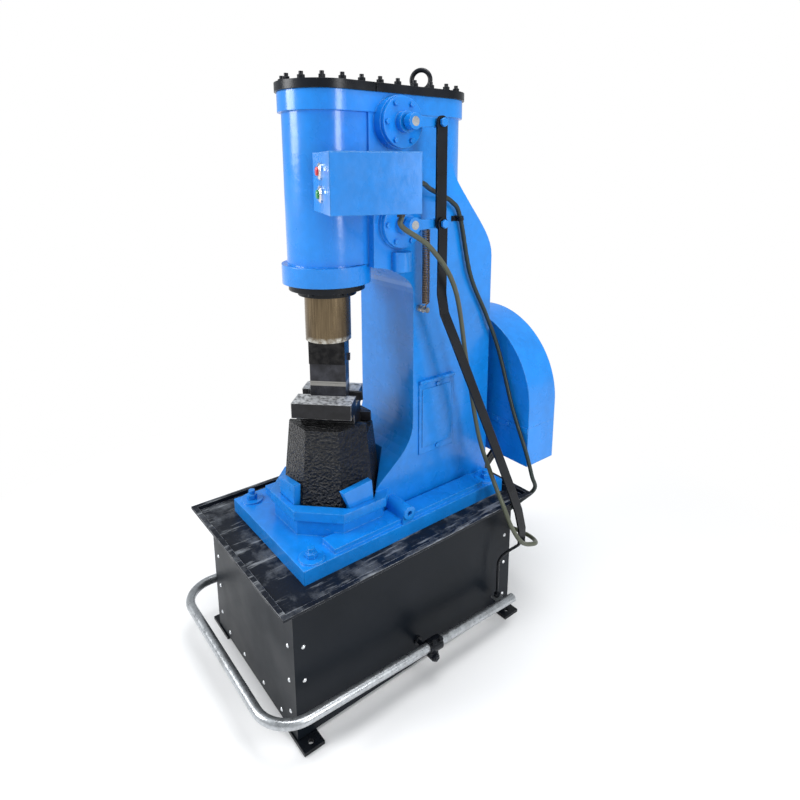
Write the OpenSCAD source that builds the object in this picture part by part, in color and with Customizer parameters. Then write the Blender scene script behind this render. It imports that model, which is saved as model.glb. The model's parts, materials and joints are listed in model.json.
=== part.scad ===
// Air forging hammer on a sheet-steel base, one solid per physical piece.
// Millimetres. Z is up, the ram side faces -Y, and the origin lies on the floor
// under the middle of the base. The ram is drawn down, with the dies in contact.

/* [Base] */
// Width of the base over its side panels
base_w = 647; // [600:1:700]
// Length of the base over its end panels
base_l = 1000; // [960:1:1060]
// Height of the tray rim above the floor
rim_z = 533; // [520:1:560]
// Overhang of the tray rim past the panels
rim_out = 57; // [40:1:60]
// Width of the raised lip round the tray
lip_w = 18; // [12:1:24]
// Height of the tray deck, on which the casting stands
deck_z = 516; // [510:1:520]
// Gap between the panels and the floor
panel_gap = 15; // [12:1:25]
// Thickness of the sheet panels
panel_t = 3; // [2:0.5:5]
// Thickness of the floor feet
foot_plate_t = 12; // [8:1:12]
// Diameter of the floor bolt holes
floor_hole_d = 18; // [12:1:22]
// Distance of the floor bolt holes outside the side panels
floor_hole_out = 26.5; // [18:0.5:32]
// Distance of the floor bolt holes inside the end panels
floor_hole_in = 32; // [22:1:40]

/* [Casting] */
// Width of the cast foot
foot_w = 544; // [520:2:580]
// Thickness of the cast foot
foot_t = 52; // [40:1:60]
// Width of the column
col_w = 328; // [310:2:360]
// Wall of the crank case
case_wall = 18; // [14:1:22]
// Outer radius of the ram cylinder
cyl_r = 133; // [125:1:138]
// Bore radius of both cylinders
bore_r = 100; // [96:1:102]
// Height of the cylinder tops
cyl_top_z = 2054; // [2040:1:2070]
// Height of the ram cylinder's lower face
cyl_bot_z = 1433; // [1425:1:1440]
// Bore of the cross boss in the foot
boss_bore_d = 19; // [14:0.5:24]

/* [Ram and dies] */
// Radius of the ram rod
rod_r = 80.5; // [76:0.5:82]
// Height of the rod's lower end with the dies shut
rod_bot_z = 1227; // [1220:1:1240]
// Height of the joint between the dies
die_z = 1067; // [1060:1:1075]
// Length of the dies
die_l = 130; // [118:1:134]
// Width of the dies
die_w = 60; // [50:1:64]
// Height of the upper die's body
upper_die_h = 72; // [66:1:90]
// Height of the top of the sow block rails
rail_z = 1018; // [1010:1:1024]
// Height of the anvil's top face
anvil_z = 931; // [920:1:940]

/* [Drive] */
// Height of the crankshaft
crank_z = 900; // [890:1:910]
// Throw of the crank
crank_r = 95; // [90:1:96]
// Centre distance of the connecting rod
rod_len = 600; // [590:1:615]
// Outer radius of the crankshaft pulley
big_pulley_r = 262; // [240:1:265]
// Outer radius of the motor pulley
small_pulley_r = 58; // [54:1:64]
// Distance of the motor to the left of the crankshaft
motor_x = 150; // [140:1:160]
// Height of the motor shaft
motor_z = 250; // [240:1:262]
// Radius of the motor's ribbed shell
motor_r = 112; // [100:1:116]

/* [Controls] */
// Height of the upper valve spindle
upper_valve_z = 1961; // [1955:1:1965]
// Height of the lower valve spindle
lower_valve_z = 1632; // [1620:1:1640]
// Length of the valve levers
lever_l = 106; // [100:1:112]
// Radius of the treadle pipe
pipe_r = 17; // [14:0.5:20]
// Half width of the treadle over its pipe axis
treadle_x = 400; // [396:1:410]
// Reach of the treadle in front of its pivot
treadle_reach = 618; // [600:1:640]
// Upward slope of the treadle at rest, in degrees
treadle_slope = 3; // [2:0.5:4]
// Width of the control box
box_w = 268; // [240:1:290]
// Height of the control box
box_h = 172; // [150:1:190]
// Depth of the control box
box_d = 236; // [200:1:238]
// Radius of the push buttons
button_r = 13; // [10:0.5:15]

/* [Fits] */
// Radial clearance of sliding and turning fits
run_fit = 0.06; // [0.02:0.01:0.1]
// Gap between parts that move past each other
move_gap = 0.5; // [0.3:0.1:1]
// Clearance of bolts and studs in their holes
bolt_fit = 0.25; // [0.1:0.05:0.5]

/* [Hidden] */

$fn = 72;
e = 0.01;
ram_y = -145;
comp_y = 290;
collar_half = 25;
base_x = base_w / 2;
base_y = base_l / 2;
floor_hole_x = base_x + floor_hole_out;
floor_hole_y = base_y - floor_hole_in;
rim_x = base_x + rim_out;
rim_y = base_y + rim_out;
foot_y0 = -426;
foot_y1 = 497;
foot_z = deck_z + foot_t;
col_x = col_w / 2;
col_front_y = 111;
col_rear_y = 509;
case_x = col_x - case_wall;
case_y0 = col_front_y + case_wall;
case_y1 = col_rear_y - case_wall;
case_z0 = 742;
case_z1 = 1300;
valve_y = 46;
spool_r = 38;
die_top_z = die_z + upper_die_h;
pivot_y = 0;
pivot_z = 112;
pin_y = valve_y + lever_l;
link_x = 254;
bar_t = 8;
guard_y0 = 553;
guard_y1 = 715;
guard_r = 350;
guard_cz = crank_z - 20;
guard_z0 = crank_z - 265;
guard_seam_z = crank_z - 100;
belt_y = [600, 622, 644];
box_at = [400, -217, 1687];
box_az = 70.4;
spring_x = 204;
spring_y = 134;
spring_z0 = 1325;
wrist_z = crank_z - crank_r + rod_len;

// Widening of the anvil's, the sow block's and the ram's dovetails per unit of depth, and the fit of keys
anvil_dove = 0.3;
sow_dove = 0.2;
ram_dove = 2 / 9;
key_fit = 0.05;
cover_joint_y = -35;
cover_stud_r = 126;
cover_stud_step = (comp_y - ram_y) / 6;
eye_y = 280;

function lin(a, b, n) = [for (i = [0:n]) a + (b - a) * i / n];
function unit(v) = v / norm(v);

module along_x(x, y, z) { translate([x, y, z]) rotate([0, 90, 0]) children(); }
module along_y(x, y, z) { translate([x, y, z]) rotate([-90, 0, 0]) children(); }
module block(x0, x1, y0, y1, z0, z1) { translate([x0, y0, z0]) cube([x1 - x0, y1 - y0, z1 - z0]); }
module both_x() { children(); mirror([1, 0, 0]) children(); }
// Local X runs along the dies, local -Y faces the front right of the machine.
module die_axes() { translate([0, ram_y, 0]) rotate([0, 0, 45]) children(); }
module box_axes() { translate(box_at) rotate([0, 0, box_az]) children(); }
module hex(r, h) { linear_extrude(h) circle(r, $fn = 6); }

// Octagon with one distance for the faces along X and Y and one for the oblique faces.
module octagon(a, b) {
    intersection() {
        square(2 * a, center = true);
        rotate(45) square(2 * b, center = true);
    }
}

// Frustum with half widths x0, y0 at z0 and x1, y1 at z1.
module taper(x0, y0, z0, x1, y1, z1) {
    intersection() {
        rotate([90, 0, 0]) linear_extrude(4 * y1, center = true)
            polygon([[-x0, z0], [x0, z0], [x1, z1], [-x1, z1]]);
        rotate([90, 0, 90]) linear_extrude(4 * x1, center = true)
            polygon([[-y0, z0], [y0, z0], [y1, z1], [-y1, z1]]);
    }
}

// Band of width w along a chain of points in a plane.
function side_points(p, w) = [for (i = [0:len(p) - 1])
    let (t = unit(p[min(i + 1, len(p) - 1)] - p[max(i - 1, 0)])) p[i] + w * [-t[1], t[0]]];
function reversed(p) = [for (i = [len(p) - 1:-1:0]) p[i]];
function band(p, w) = concat(side_points(p, w / 2), reversed(side_points(p, -w / 2)));

// Tube swept along a path of points, with the same number of sides all along.
module sweep(path, r, sides, closed_normal = [1, 0, 0]) {
    n = len(path);
    rings = [for (i = [0:n - 1])
        let (t = unit(path[min(i + 1, n - 1)] - path[max(i - 1, 0)]),
            u = unit(cross(t, abs(t[0]) > 0.9 ? [0, 1, 0] : closed_normal)),
            w = cross(t, u))
        for (k = [0:sides - 1]) path[i] + r * (cos(360 * k / sides) * u + sin(360 * k / sides) * w)];
    faces = concat(
        [[for (k = [0:sides - 1]) k]],
        [for (i = [0:n - 2]) for (k = [0:sides - 1])
            [(i + 1) * sides + k, (i + 1) * sides + (k + 1) % sides, i * sides + (k + 1) % sides, i * sides + k]],
        [[for (k = [sides - 1:-1:0]) (n - 1) * sides + k]]);
    polyhedron(points = rings, faces = faces, convexity = 6);
}

module base_frame() {
    color([0.09, 0.09, 0.10]) difference() {
        union() {
            both_x() for (s = [-1, 1]) block(236, floor_hole_x + 26,
                s * floor_hole_y - 37, s * floor_hole_y + 37, 0, foot_plate_t);
            block(-base_x + panel_t, base_x - panel_t, -base_y + panel_t, base_y - panel_t,
                foot_plate_t, foot_plate_t + 12);
            both_x() for (s = [0, 1]) mirror([0, s, 0]) corner_post();
            both_x() block(196, 256, -base_y + panel_t, base_y - panel_t, deck_z - 60, deck_z - 12);
            for (s = [0, 1]) mirror([0, s, 0])
                block(-base_x + panel_t, base_x - panel_t, base_y - panel_t - 50, base_y - panel_t,
                    deck_z - 60, deck_z - 12);
        }
        both_x() for (s = [-1, 1]) translate([floor_hole_x, s * floor_hole_y, -1])
            cylinder(d = floor_hole_d, h = foot_plate_t + 2);
        both_x() block(202, 250, -base_y - 1, base_y + 1, deck_z - 61, deck_z - 18);
        stud_places() translate([0, 0, deck_z - 90]) cylinder(r = 12 + bolt_fit, h = 100);
    }
}
module corner_post() {
    difference() {
        block(base_x - panel_t - 50, base_x - panel_t, base_y - panel_t - 50, base_y - panel_t,
            foot_plate_t + 11, deck_z - 12);
        block(base_x - panel_t - 51, base_x - panel_t - 6, base_y - panel_t - 51, base_y - panel_t - 6,
            foot_plate_t, deck_z);
    }
}
module stud_places() { both_x() for (y = [-372, 446]) translate([226, y, 0]) children(); }

module base_panels() {
    color([0.08, 0.09, 0.10]) difference() {
        block(-base_x, base_x, -base_y, base_y, panel_gap, deck_z - 12);
        block(-base_x + panel_t, base_x - panel_t, -base_y + panel_t, base_y - panel_t, 0, deck_z);
        along_y(-motor_x, 0, motor_z) cylinder(r = 50, h = base_y + 10);
        gland_places() cylinder(r = 12 + bolt_fit, h = 40, center = true);
        rivet_places() cylinder(r = 2.5, h = 20, center = true, $fn = 24);
        both_x() along_x(base_x - 20, pivot_y, pivot_z) cylinder(r = 8 + bolt_fit, h = 30);
    }
}
module gland_places() { for (x = [170, 230]) along_y(x, base_y, 300) children(); }

// Rivets down the corners of the panels and along the foot of the front panel.
module rivet_places() {
    both_x() {
        for (z = [345, 215, 95]) along_y(282, -base_y, z) rotate([180, 0, 0]) children();
        for (z = [345, 215, 95]) along_y(282, base_y, z) children();
        for (x = [80, 215]) along_y(x, -base_y, 45) rotate([180, 0, 0]) children();
        for (y = [-466, 466], z = [350, 225, 75]) along_x(base_x, y, z) children();
    }
}
module panel_rivets() {
    color([0.75, 0.77, 0.8]) rivet_places() {
        intersection() {
            translate([0, 0, -5]) sphere(r = 9, $fn = 32);
            cylinder(r = 8, h = 5, $fn = 32);
        }
        translate([0, 0, -3]) cylinder(r = 2.5, h = 4, $fn = 24);
    }
}

module base_tray() {
    color([0.10, 0.10, 0.11]) difference() {
        union() {
            taper(base_x + 3, base_y + 3, rim_z - 55, rim_x, rim_y, rim_z - 9);
            block(-rim_x, rim_x, -rim_y, rim_y, rim_z - 9 - e, rim_z);
        }
        block(-rim_x + lip_w, rim_x - lip_w, -rim_y + lip_w, rim_y - lip_w, deck_z, rim_z + 1);
        block(-base_x, base_x, -base_y, base_y, rim_z - 60, deck_z - 12);
        translate([0, ram_y, deck_z - 20]) linear_extrude(40) octagon(196, 180);
        stud_places() translate([0, 0, deck_z - 20]) cylinder(r = 12 + bolt_fit, h = 40);
    }
}

// Side view of the column: flare behind the anvil, arch under the cylinders, swept back.
function column_side() = concat(
    [[-70, deck_z + 10], [-70, 664], [-45, 692], [-10, 718], [20, 742], [50, 767], [74, 792],
        [92, 818], [103, 843], [109, 868], [col_front_y, 905]],
    [[col_front_y, 1380], [108, 1400], [97, 1419], [78, 1437], [54, 1452], [30, 1466], [5, 1477],
        [-20, 1484], [-60, 1490]],
    [[-60, cyl_top_z - 40], [comp_y, cyl_top_z - 40], [comp_y, 1840]],
    [for (t = lin(0, 1, 14)) [312 + (col_rear_y - 312) * t * t * (3 - 2 * t), 1830 - 350 * t]],
    [[col_rear_y, deck_z + 10]]);
// The column draws in a little towards the cylinders.
module column() {
    intersection() {
        rotate([90, 0, 90]) linear_extrude(400, center = true) polygon(column_side());
        rotate([90, 0, 0]) linear_extrude(1400, center = true) polygon(concat(
            [[-col_x, deck_z + 10], [col_x, deck_z + 10]],
            [for (t = lin(0, 1, 8)) [col_x - 22 * t * t * (3 - 2 * t), 1700 + 150 * t]],
            [[col_x - 22, cyl_top_z], [22 - col_x, cyl_top_z]],
            [for (t = lin(1, 0, 8)) [-col_x + 22 * t * t * (3 - 2 * t), 1700 + 150 * t]]));
    }
}
module valve_places() { for (z = [upper_valve_z, lower_valve_z]) along_x(0, valve_y, z) children(); }
module cover_bolt_places(r, n, a0) { for (i = [0:n - 1]) rotate(a0 + 360 * i / n) translate([r, 0, 0]) children(); }
module cover_stud_places() {
    for (a = [0:30:150]) {
        translate([0, ram_y, 0]) rotate(a + 180) translate([cover_stud_r, 0, 0]) children();
        translate([0, comp_y, 0]) rotate(a) translate([cover_stud_r, 0, 0]) children();
    }
    for (i = [0:5]) {
        translate([cover_stud_r, ram_y + i * cover_stud_step, 0]) children();
        translate([-cover_stud_r, comp_y - i * cover_stud_step, 0]) children();
    }
}

module frame_casting() {
    color([0.12, 0.53, 0.92]) difference() {
        union() {
            difference() {
                union() {
                    casting_foot();
                    column();
                    casting_cylinders();
                }
                block(-case_x, case_x, case_y0, case_y1, case_z0, case_z1);
                block(-case_x, case_x, case_y0, case_y1, deck_z - 1, case_z0 - 20);
            }
            along_y(0, 374, crank_z) cylinder(r = 84, h = 546 - 374);
        }
        along_y(0, 370, crank_z) cylinder(r = 62, h = 200);
        translate([0, ram_y, deck_z - 1]) linear_extrude(250) octagon(192, 172);
        translate([0, ram_y, cyl_bot_z + 45]) cylinder(r = bore_r, h = 700);
        translate([0, ram_y, cyl_bot_z - 1]) cylinder(r = 96, h = 60);
        translate([0, comp_y, case_z1 - 10]) cylinder(r = bore_r, h = 800);
        valve_places() translate([0, 0, -120]) cylinder(r = spool_r + run_fit, h = 320);
        for (z = [upper_valve_z, lower_valve_z]) along_y(0, ram_y + 60, z) cylinder(r = 16, h = comp_y - ram_y - 120);
        block(col_x - 30, col_x + 1, 152, 296, 770, 1008);
        both_x() along_x(150, 4, 607) cylinder(d = boss_bore_d, h = 150);
        stud_places() translate([0, 0, deck_z - 1]) cylinder(r = 12 + bolt_fit, h = 80);
        cover_stud_places() translate([0, 0, cyl_top_z - 36]) cylinder(r = 7 + bolt_fit, h = 40, $fn = 24);
        translate([0, ram_y, cyl_bot_z - 1]) cover_bolt_places(114, 6, 0) cylinder(r = 6 + bolt_fit, h = 31, $fn = 24);
        valve_places() translate([0, 0, 146]) cover_bolt_places(66, 6, 30) cylinder(r = 5 + bolt_fit, h = 32, $fn = 24);
        inspection_bolt_places() translate([0, 0, -24]) cylinder(r = 5 + bolt_fit, h = 30, $fn = 24);
        along_x(col_x - 24, spring_y, spring_z0) cylinder(r = 7 + bolt_fit, h = 30, $fn = 24);
        translate([178, valve_y, 1469]) cylinder(r = 24, h = 56);
    }
}
module casting_foot() {
    block(-foot_w / 2, foot_w / 2, foot_y0, foot_y1, deck_z, foot_z);
    both_x() block(178, 258, -301, -21, foot_z - e, foot_z + 18);
    both_x() block(178, 258, 29, 393, foot_z - e, foot_z + 18);
    both_x() along_x(150, 4, 607) cylinder(r = 25, h = 126);
    both_x() block(150, 268, -21, 29, foot_z - e, 607);
    stud_places() translate([0, 0, foot_z - e]) cylinder(r = 42, h = 6);
    translate([0, ram_y, foot_z - e]) linear_extrude(62) octagon(201, 201);
    translate([0, ram_y, 629]) linear_extrude(35) octagon(214, 214);
}
module casting_cylinders() {
    translate([0, ram_y, cyl_bot_z]) cylinder(r = cyl_r, h = cyl_top_z - cyl_bot_z);
    translate([0, ram_y, cyl_bot_z]) cylinder(r = cyl_r + 20, h = 66);
    translate([0, comp_y, 1500]) cylinder(r = cyl_r, h = cyl_top_z - 1500);
    translate([0, 0, 1500]) linear_extrude(cyl_top_z - 1500) stadium(cyl_r);
    translate([0, 0, cyl_top_z - 63]) linear_extrude(63) stadium(cyl_r + 12);
    for (z = [upper_valve_z, lower_valve_z]) along_x(90, valve_y, z) cylinder(r = 86, h = 86);
    translate([178, valve_y, 1470]) cylinder(r = 34, h = 68);
    box_axes() block(-44, 44, box_d, box_d + 60, 24, box_h - 24);
}
module stadium(r) {
    translate([0, ram_y]) circle(r);
    translate([0, comp_y]) circle(r);
    translate([-r, ram_y]) square([2 * r, comp_y - ram_y]);
}

module cover_plate(front) {
    difference() {
        union() {
            translate([0, 0, cyl_top_z]) linear_extrude(28) intersection() {
                stadium(cyl_r + 19);
                translate([-300, front ? -600 : cover_joint_y + 2]) square([600, front ? 598 + cover_joint_y : 800]);
            }
            translate([0, front ? ram_y : comp_y, cyl_top_z - 22]) cylinder(r = bore_r - bolt_fit, h = 23);
        }
        cover_stud_places() translate([0, 0, cyl_top_z - 1]) cylinder(r = 7 + bolt_fit, h = 60, $fn = 24);
        if (!front) translate([0, eye_y, cyl_top_z + 5]) cylinder(r = 10 + bolt_fit, h = 40, $fn = 24);
    }
}
module front_cylinder_cover() { color([0.06, 0.06, 0.07]) cover_plate(true); }
module rear_cylinder_cover() { color([0.06, 0.06, 0.07]) cover_plate(false); }
module cover_studs() {
    color([0.07, 0.07, 0.08]) cover_stud_places() {
        translate([0, 0, cyl_top_z - 32]) cylinder(r = 7, h = 83, $fn = 24);
        translate([0, 0, cyl_top_z + 28]) hex(12, 13);
    }
}
module lifting_eye() {
    color([0.05, 0.05, 0.06]) translate([0, eye_y, cyl_top_z + 28]) {
        translate([0, 0, -22]) cylinder(r = 10, h = 32, $fn = 32);
        cylinder(r = 24, h = 8, $fn = 48);
        translate([0, 0, 6]) cylinder(r = 13, h = 12, $fn = 48);
        translate([0, 0, 48]) rotate([90, 0, 35]) rotate_extrude() translate([35, 0]) circle(8.5, $fn = 28);
    }
}

module ram_guide_cover() {
    color([0.07, 0.07, 0.08]) translate([0, ram_y, 0]) difference() {
        union() {
            translate([0, 0, cyl_bot_z - 24]) cylinder(r = cyl_r - 1, h = 24);
            translate([0, 0, cyl_bot_z - 43]) cylinder(r = 102, h = 20);
        }
        translate([0, 0, cyl_bot_z - 60]) cylinder(r = rod_r + move_gap, h = 80);
        translate([0, 0, cyl_bot_z - 24]) cylinder(r = 92 + bolt_fit, h = 30);
        translate([0, 0, cyl_bot_z - 30]) cover_bolt_places(114, 6, 0) cylinder(r = 6 + bolt_fit, h = 40, $fn = 24);
    }
}
module ram_guide_bush() {
    color([0.72, 0.52, 0.25]) translate([0, ram_y, 0]) difference() {
        union() {
            translate([0, 0, cyl_bot_z - 24]) cylinder(r = 92, h = 25);
            translate([0, 0, cyl_bot_z]) cylinder(r = 96, h = 44);
        }
        translate([0, 0, cyl_bot_z - 60]) cylinder(r = rod_r + run_fit, h = 200);
    }
}
module guide_cover_bolts() {
    color([0.15, 0.15, 0.16]) translate([0, ram_y, cyl_bot_z - 24]) cover_bolt_places(114, 6, 0) {
        translate([0, 0, -9]) hex(10, 9);
        translate([0, 0, -1]) cylinder(r = 6, h = 50, $fn = 24);
    }
}

module anvil() {
    color([0.08, 0.08, 0.09]) difference() {
        union() {
            translate([0, ram_y, foot_plate_t + 12]) linear_extrude(640 + e) octagon(166, 166);
            translate([0, ram_y, 0]) intersection() {
                taper(166, 166, 664, 140, 140, anvil_z);
                rotate(45) taper(166, 166, 664, 140, 140, anvil_z);
            }
        }
        die_axes() rotate([90, 0, 90]) linear_extrude(500, center = true)
            polygon([[-46, anvil_z + 1], [-46, anvil_z], [-58, anvil_z - 40], [74, anvil_z - 40],
                [62, anvil_z], [62, anvil_z + 1]]);
    }
}
module anvil_wedges() {
    color([0.13, 0.55, 0.93]) translate([0, ram_y, 0]) for (a = [0, 90, 180, 270]) rotate(a)
        rotate([90, 0, 90]) translate([0, 0, 166]) linear_extrude(25.5)
            polygon([[-48, 560], [48, 560], [50.5, 664], [a == 0 ? 44 : 56, a == 90 ? 664.2 : 738],
                [a == 0 ? -76 : -56, a == 90 ? 664.2 : 726], [-50.5, 664]]);
}
module sow_block() {
    color([0.10, 0.11, 0.13]) die_axes() difference() {
        union() {
            block(-114, 99, -112, 112, 963, rail_z);
            block(-99, 99, -61, 61, anvil_z, 964);
            rotate([90, 0, 90]) linear_extrude(198, center = true)
                polygon([[-46, anvil_z + 1], [-46, anvil_z], [-46 - 39.5 * anvil_dove, anvil_z - 39.5],
                    [46 + 39.5 * anvil_dove, anvil_z - 39.5], [46, anvil_z], [46, anvil_z + 1]]);
        }
        rotate([90, 0, 90]) linear_extrude(300, center = true)
            polygon([[-20, rail_z + 1], [-20, rail_z], [-27, rail_z - 35], [39, rail_z - 35],
                [32, rail_z], [32, rail_z + 1]]);
    }
}
module die_keys() {
    color([0.25, 0.25, 0.27]) die_axes() rotate([90, 0, 90]) {
        translate([0, 0, -112]) linear_extrude(250)
            polygon([[46 + anvil_dove + key_fit, anvil_z - 1], [62 + anvil_dove - key_fit, anvil_z - 1],
                [62 + 39 * anvil_dove - key_fit, anvil_z - 39], [46 + 39 * anvil_dove + key_fit, anvil_z - 39]]);
        translate([0, 0, -88]) linear_extrude(202)
            polygon([[20 + sow_dove + key_fit, rail_z - 1], [32 + sow_dove - key_fit, rail_z - 1],
                [32 + 34 * sow_dove - key_fit, rail_z - 34], [20 + 34 * sow_dove + key_fit, rail_z - 34]]);
    }
}
module lower_die() {
    color([0.20, 0.20, 0.22]) die_axes() {
        block(-die_l / 2, die_l / 2, -die_w / 2, die_w / 2, rail_z, die_z - move_gap);
        rotate([90, 0, 90]) linear_extrude(die_l, center = true)
            polygon([[-20, rail_z + 1], [-20, rail_z], [-26.8, rail_z - 34], [26.8, rail_z - 34],
                [20, rail_z], [20, rail_z + 1]]);
    }
}
module casting_studs() {
    color([0.14, 0.55, 0.93]) stud_places() {
        translate([0, 0, deck_z - 80]) cylinder(r = 12, h = 172, $fn = 32);
        translate([0, 0, foot_z + 6]) hex(20, 18);
    }
}

module inspection_bolt_places() {
    for (z = [764, 1018]) along_x(col_x, 226, z) children();
}
module inspection_cover() {
    color([0.12, 0.53, 0.92]) difference() {
        union() {
            block(col_x, col_x + 5, 137, 311, 748, 1029);
            block(col_x + 4, col_x + 9, 150, 298, 776, 1008);
            block(col_x, col_x + 9, 137, 311, 1028, 1036);
            block(col_x, col_x + 14, 137, 311, 1035, 1044);
        }
        inspection_bolt_places() translate([0, 0, -5]) cylinder(r = 5 + bolt_fit, h = 20, $fn = 24);
    }
}
module inspection_bolts() {
    color([0.14, 0.5, 0.85]) inspection_bolt_places() {
        translate([0, 0, -20]) cylinder(r = 5, h = 26, $fn = 24);
        translate([0, 0, 5]) hex(9, 6);
    }
}

module valve_covers() {
    color([0.15, 0.56, 0.94]) valve_places() difference() {
        union() {
            translate([0, 0, 176]) cylinder(r = 82, h = 14);
            translate([0, 0, 189]) cylinder(r = 34, h = 25);
        }
        cylinder(r = 15 + run_fit, h = 300);
        translate([0, 0, 170]) cover_bolt_places(66, 6, 30) cylinder(r = 5 + bolt_fit, h = 40, $fn = 24);
    }
}
module valve_cover_bolts() {
    color([0.14, 0.5, 0.85]) valve_places() cover_bolt_places(66, 6, 30) {
        translate([0, 0, 150]) cylinder(r = 5, h = 41, $fn = 24);
        translate([0, 0, 190]) hex(9.5, 8);
    }
}
module rotary_valve() {
    difference() {
        union() {
            translate([0, 0, -112]) cylinder(r = spool_r, h = 280);
            translate([0, 0, 167]) cylinder(r = 15, h = 85);
        }
        translate([0, 0, -40]) rotate([90, 0, 0]) cylinder(r = 15, h = 200, center = true);
        translate([0, 0, 40]) rotate([90, 0, 0]) cylinder(r = 15, h = 200, center = true);
    }
}
module upper_valve() { color([0.55, 0.56, 0.58]) along_x(0, valve_y, upper_valve_z) rotary_valve(); }
module lower_valve() { color([0.55, 0.56, 0.58]) along_x(0, valve_y, lower_valve_z) rotary_valve(); }
module lever(z, pin_end) {
    difference() {
        union() {
            along_x(224, valve_y, z) cylinder(r = 26, h = 28);
            along_x(228, pin_y, z) cylinder(r = 17, h = 20);
            translate([228, valve_y, z]) rotate([90, 0, 90]) linear_extrude(20)
                polygon([[0, -19], [lever_l, -13], [lever_l, 13], [0, 19]]);
        }
        along_x(200, valve_y, z) cylinder(r = 15, h = 80);
    }
    along_x(247, pin_y, z) cylinder(r = 9, h = pin_end - 247);
    along_x(pin_end - 10, pin_y, z) hex(15, 10);
}
module upper_lever() { color([0.12, 0.53, 0.92]) lever(upper_valve_z, 274); }
module lower_lever() {
    color([0.12, 0.53, 0.92]) {
        lever(lower_valve_z, 284);
        along_x(194, spring_y, lower_valve_z) cylinder(r = 6, h = 36, $fn = 32);
    }
}
module link_bar() {
    color([0.05, 0.05, 0.055]) difference() {
        union() {
            block(link_x, link_x + bar_t, pin_y - 22, pin_y + 22, lower_valve_z, upper_valve_z);
            for (z = [lower_valve_z, upper_valve_z]) along_x(link_x, pin_y, z) cylinder(r = 22, h = bar_t);
        }
        for (z = [lower_valve_z, upper_valve_z]) along_x(link_x - 5, pin_y, z) cylinder(r = 9 + run_fit, h = 30);
    }
}
bar_x = link_x + 14;
bar_path = [[bar_x, pin_y, lower_valve_z + 2], [bar_x, pin_y - 1, 1390], [274, 160, 1320], [290, 195, 1225],
    [312, 257, 1062], [340, 312, 903], [370, 369, 735], [390, 418, 599], [396, 458, 497], [398, 482, 410],
    [397, 484, 345]];
rod_path = [[397, 482, 352], [392, 470, 338], [378, 440, 322], [366, 410, 304], [360, 395, 280],
    [360, 392, 240], [360, 392, 98]];
module operating_bar() {
    color([0.05, 0.05, 0.055]) {
        difference() {
            union() {
                intersection() {
                    rotate([90, 0, 90]) linear_extrude(500)
                        polygon(band([for (p = bar_path) [p[1], p[2]]], 38));
                    rotate([90, 0, 0]) linear_extrude(1400, center = true)
                        polygon(band([for (p = bar_path) [p[0], p[2]]], bar_t));
                }
                along_x(bar_x - bar_t / 2, pin_y, lower_valve_z) cylinder(r = 21, h = bar_t);
            }
            along_x(bar_x - 10, pin_y, lower_valve_z) cylinder(r = 9 + run_fit, h = 20);
        }
        sweep(smooth(rod_path, 2), 5.5, 10, [0, 1, 0.2]);
        translate([360, 392, 127]) cylinder(r = 12, h = 8, $fn = 32);
        translate([360, 392, 102]) hex(12, 10);
    }
}
module spring_anchor() {
    color([0.45, 0.45, 0.46]) along_x(col_x - 22, spring_y, spring_z0) {
        cylinder(r = 7, h = 72, $fn = 32);
        translate([0, 0, 22]) cylinder(r = 12, h = 12, $fn = 32);
        translate([0, 0, 44]) cylinder(r = 12, h = 8, $fn = 32);
        translate([0, 0, 69]) cylinder(r = 10, h = 3, $fn = 32);
    }
}
spring_turns = 44;
spring_r = 12;
wire_r = 2.4;
module return_spring() {
    za = spring_z0 + 7 + move_gap;
    zb = lower_valve_z - 6 - move_gap;
    n = spring_turns * 8;
    pitch = (zb - za - 28) / spring_turns;
    echo(spring_gap_mm = pitch - 2 * wire_r, spring_pitch_mm = pitch);
    coil = [for (i = [0:n]) [spring_x + spring_r * cos(45 * i), spring_y + spring_r * sin(45 * i),
        za + 14 + pitch * i / 8]];
    color([0.42, 0.37, 0.33]) sweep(concat([[spring_x, spring_y, za], [spring_x, spring_y, za + 6]], coil,
        [[spring_x, spring_y, zb - 6], [spring_x, spring_y, zb]]), wire_r, 6);
}

module treadle_axes() { translate([0, pivot_y, pivot_z]) rotate([-treadle_slope, 0, 0]) children(); }
module treadle_rail(r) {
    b = 120;
    both_x() {
        translate([treadle_x, b - treadle_reach, 28]) rotate([-90, 0, 0])
            cylinder(r = r, h = 440 + treadle_reach - b, $fn = 40);
        translate([treadle_x - b, b - treadle_reach, 28]) rotate([0, 0, -90])
            rotate_extrude(angle = 90) translate([b, 0]) circle(r, $fn = 40);
        translate([-e, -treadle_reach, 28]) rotate([0, 90, 0]) cylinder(r = r, h = treadle_x - b + e, $fn = 40);
    }
}
module treadle() {
    color([0.70, 0.72, 0.73]) treadle_axes() difference() {
        union() {
            treadle_rail(pipe_r);
            difference() {
                translate([346, 370, 25]) cube([42, 38, 6]);
                for (y = [388.5, 392]) translate([360, y, 0]) cylinder(r = 8, h = 60, $fn = 32);
                translate([352, 388.5, 0]) cube([16, 3.5, 60]);
            }
        }
        treadle_rail(pipe_r - 3);
    }
}
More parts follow.
